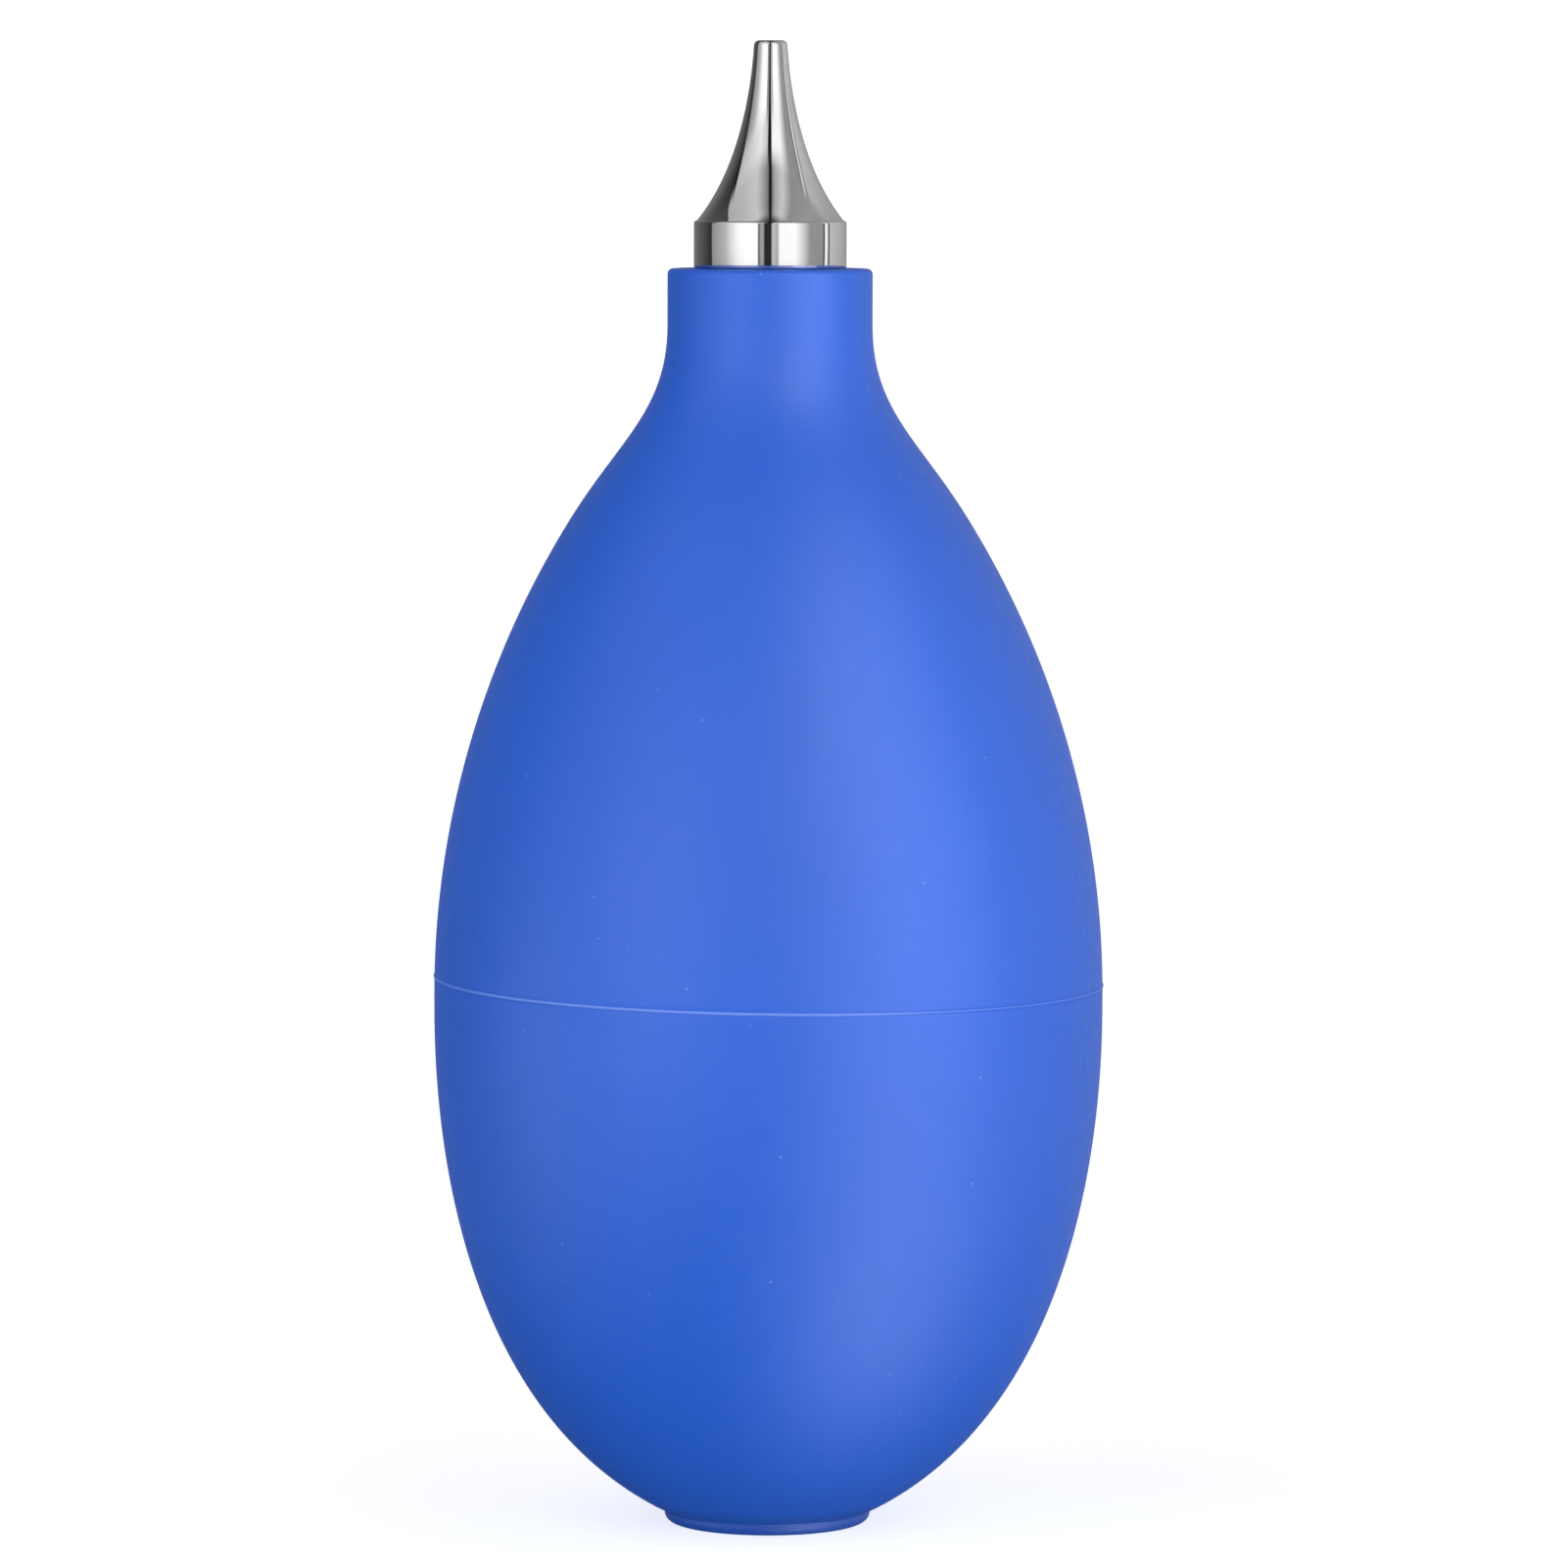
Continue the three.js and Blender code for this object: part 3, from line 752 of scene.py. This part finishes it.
# The studio's soft light, as brightness round the object at three heights. Azimuths are degrees
# from the camera's side, to the right when positive. Close stops make the crisp edge of a softbox.
# These stops are not a hand-made design: scratch programs measured what the photo's nozzle
# reflects and thinned the list.
LEVEL_RING = (
    (-180, 0.25), (-100, 0.03), (-98, 0.33), (-72, 0.55), (-50, 1.2), (-35, 1.35), (-19, 1.3),
    (-18, 0.12), (-16, 0.12), (-15, 0.45), (-10, 0.4), (-9, 0.03), (2, 0.03), (3, 0.7), (12, 0.5),
    (13.5, 1.25), (38, 1.25), (63, 0.36), (88, 0.34), (88.5, 0.03), (91, 0.03), (91.5, 1.1),
    (97, 1.1), (98, 0.1), (101, 0.1), (102, 0.65), (180, 0.25),
)
MIDDLE_RING = (
    (-180, 0.2), (-98, 0.01), (-97, 0.6), (-36, 1.03), (-10, 0.7), (-9, 0.01), (3, 0.01), (5, 1.1),
    (12, 1.22), (36, 1.22), (60, 0.38), (88, 0.33), (90, 0.1), (91, 0.1), (92, 0.85), (96, 0.85),
    (98, 0.35), (101, 0.35), (103, 0.6), (180, 0.2),
)
HIGH_RING = (
    (-180, 0.2), (-106, 0.06), (-105, 0.5), (-40, 0.7), (-5, 0.2), (-4, 0.01), (3, 0.01),
    (4, 0.15), (12, 0.45), (36, 0.72), (60, 0.33), (105, 0.38), (180, 0.2),
)
NADIR = 0.02
ZENITH = 0.02
# Heights in degrees between which the floor's glow, each ring and the ceiling fade into the next
FADES = ((-32, -6), (20, 30), (34, 46), (70, 78))

# Soft lamps for the rubber alone, aimed at the bulb from 0.3 m away: azimuth in degrees, height and
# size in metres, brightness. Shade lamps light the rubber's colour, and only its gloss shows the
# sheen lamps. A scratch program fitted the brightnesses to the photo, and they are rounded.
LAMP_DISTANCE = 0.3
LAMP_AIM = Vector((0, 0, 0.05))
SHADE_LAMPS = (
    (-85, -0.02, 0.2, 2.4),
    (10, 0.18, 0.2, 0.8),
    (32, 0.3, 0.2, 2.4),
    (32, -0.2, 0.24, 2.3),
    (76, -0.17, 0.24, 1.8),
    (180, 0.1, 0.3, 1.8),
)
SHEEN_LAMPS = (
    (-55, -0.14, 0.2, 0.4),
    (-35, 0.08, 0.2, 0.9),
    (46, -0.4, 0.3, 1.35),
    (54, -0.17, 0.24, 1.3),
    (54, 0.08, 0.2, 3.1),
    (54, 0.3, 0.2, 2.0),
    (76, -0.17, 0.24, 0.9),
)


def arithmetic(nodes, links, operation, *values):
    """A math node on numbers and sockets."""
    node = nodes.new("ShaderNodeMath")
    node.operation = operation
    for socket, value in zip(node.inputs, values):
        if isinstance(value, (int, float)):
            socket.default_value = value
        else:
            links.new(value, socket)
    return node.outputs["Value"]


def ring(nodes, links, turn, stops):
    """Brightness round the object. A colour ramp holds values up to 1, so it is scaled."""
    brightest = max(value for _, value in stops)
    ramp = nodes.new("ShaderNodeValToRGB")
    elements = ramp.color_ramp.elements
    elements.remove(elements[1])
    elements[0].position = 0
    for azimuth, _ in stops[1:]:
        elements.new((azimuth + 180) / 360)
    for element, (_, value) in zip(elements, stops):
        element.color = (*[value / brightest] * 3, 1)
    links.new(turn, ramp.inputs["Fac"])
    return arithmetic(nodes, links, "MULTIPLY", ramp.outputs["Color"], brightest)


def faded(nodes, links, height, fade, below, above):
    """Turns smoothly from one brightness to another between two heights in degrees."""
    step = nodes.new("ShaderNodeMapRange")
    step.interpolation_type = "SMOOTHSTEP"
    step.inputs["From Min"].default_value = math.radians(fade[0])
    step.inputs["From Max"].default_value = math.radians(fade[1])
    links.new(height, step.inputs["Value"])
    mix = nodes.new("ShaderNodeMix")
    links.new(step.outputs["Result"], mix.inputs["Factor"])
    for socket, value in ((mix.inputs["A"], below), (mix.inputs["B"], above)):
        if isinstance(value, float):
            socket.default_value = value
        else:
            links.new(value, socket)
    return mix.outputs["Result"]


def studio():
    world = bpy.data.worlds.new("studio")
    world.use_nodes = True
    nodes, links = world.node_tree.nodes, world.node_tree.links
    split = nodes.new("ShaderNodeSeparateXYZ")
    links.new(nodes.new("ShaderNodeTexCoord").outputs["Generated"], split.inputs["Vector"])
    away = arithmetic(nodes, links, "MULTIPLY", split.outputs["Y"], -1)
    azimuth = arithmetic(nodes, links, "ARCTAN2", split.outputs["X"], away)
    turn = arithmetic(nodes, links, "MULTIPLY_ADD", azimuth, 0.5 / math.pi, 0.5)
    height = arithmetic(nodes, links, "ARCSINE", split.outputs["Z"])
    levels = [ring(nodes, links, turn, stops) for stops in (LEVEL_RING, MIDDLE_RING, HIGH_RING)]
    glow = NADIR
    for fade, above in zip(FADES, levels + [ZENITH]):
        glow = faded(nodes, links, height, fade, glow, above)
    background = nodes["Background"]
    background.inputs["Color"].default_value = (1, 1, 1, 1)
    links.new(glow, background.inputs["Strength"])
    bpy.context.scene.world = world


def soft_lamps(kind, lamps, receivers):
    """Area lamps that light only the receivers, either in their shade or in their sheen."""
    for i, (azimuth, height, size, brightness) in enumerate(lamps):
        name = f"{kind}_lamp_{i + 1}"
        lamp = bpy.data.lights.new(name, "AREA")
        lamp.size = size
        lamp.energy = brightness * size * size * math.pi
        piece = bpy.data.objects.new(name, lamp)
        across, towards = polar((0, 0), LAMP_DISTANCE, math.radians(azimuth - 90))
        piece.location = (across, towards, height)
        piece.rotation_euler = (LAMP_AIM - piece.location).to_track_quat("-Z", "Y").to_euler()
        piece.visible_camera = False
        piece.visible_diffuse = kind == "shade"
        piece.visible_glossy = kind == "sheen"
        piece.light_linking.receiver_collection = receivers
        bpy.context.scene.collection.objects.link(piece)


def rubber_lamps():
    receivers = bpy.data.collections.new("rubber_pieces")
    for piece in RUBBER_PIECES:
        receivers.objects.link(piece)
    soft_lamps("shade", SHADE_LAMPS, receivers)
    soft_lamps("sheen", SHEEN_LAMPS, receivers)


# Floor, in metres: how far it reaches, the radius of its bend, the top of its wall, and a pinhole
# at its middle. Its own glow keeps it nearly white.
FLOOR_REACH = 6
FLOOR_BEND = 2
WALL_TOP = 8
FLOOR_PINHOLE = 0.001
FLOOR_SEGMENTS = 96
FLOOR_GLOW = 0.72


def stage_bowl():
    """A pale floor that curves up into a wall all round. Only the camera sees it, so the rubber's
    underside stays dark, while the floor still takes the soft shadow of the object."""
    bend = arc((FLOOR_REACH - FLOOR_BEND, FLOOR_BEND), FLOOR_BEND, -90, 0, 12)
    profile = [(FLOOR_PINHOLE, 0)] + bend + [(FLOOR_REACH, WALL_TOP)]
    points, faces = ring_grid([(r / MM, z / MM) for r, z in profile], FLOOR_SEGMENTS)
    faces = faces[:-FLOOR_SEGMENTS][:, ::-1]
    mesh = smooth_mesh("stage_bowl", points, faces, 180)
    piece = new_object("stage_bowl", mesh)
    material, nodes, links, shader = new_material("stage_bowl")
    shader.inputs["Base Color"].default_value = (0.85, 0.85, 0.85, 1)
    shader.inputs["Roughness"].default_value = 1
    shader.inputs["Specular IOR Level"].default_value = 0
    shader.inputs["Emission Color"].default_value = (1, 1, 1, 1)
    shader.inputs["Emission Strength"].default_value = FLOOR_GLOW
    mesh.materials.append(material)
    piece.visible_diffuse = False
    piece.visible_glossy = False
    piece.visible_transmission = False
    piece.visible_shadow = False


CAMERA_PLACE = Vector((0, -0.6838, 0.1158))
CAMERA_AIM = Vector((0.00124, 0, 0.0611))
CAMERA_ROLL = math.radians(0.146)
CAMERA_LENS = 191.6
SENSOR_WIDTH = 36


def camera():
    data = bpy.data.cameras.new("camera")
    data.sensor_width = SENSOR_WIDTH
    data.lens = CAMERA_LENS
    piece = bpy.data.objects.new("camera", data)
    piece.location = CAMERA_PLACE
    piece.rotation_mode = "QUATERNION"
    look = (CAMERA_AIM - CAMERA_PLACE).to_track_quat("-Z", "Y")
    piece.rotation_quaternion = look @ Quaternion((0, 0, 1), CAMERA_ROLL)
    bpy.context.scene.collection.objects.link(piece)
    bpy.context.scene.camera = piece


stage_bowl()
studio()
rubber_lamps()
camera()
bpy.context.scene.view_settings.view_transform = "Standard"

# ---------------------------------------------------------------- finish

bpy.context.view_layer.update()
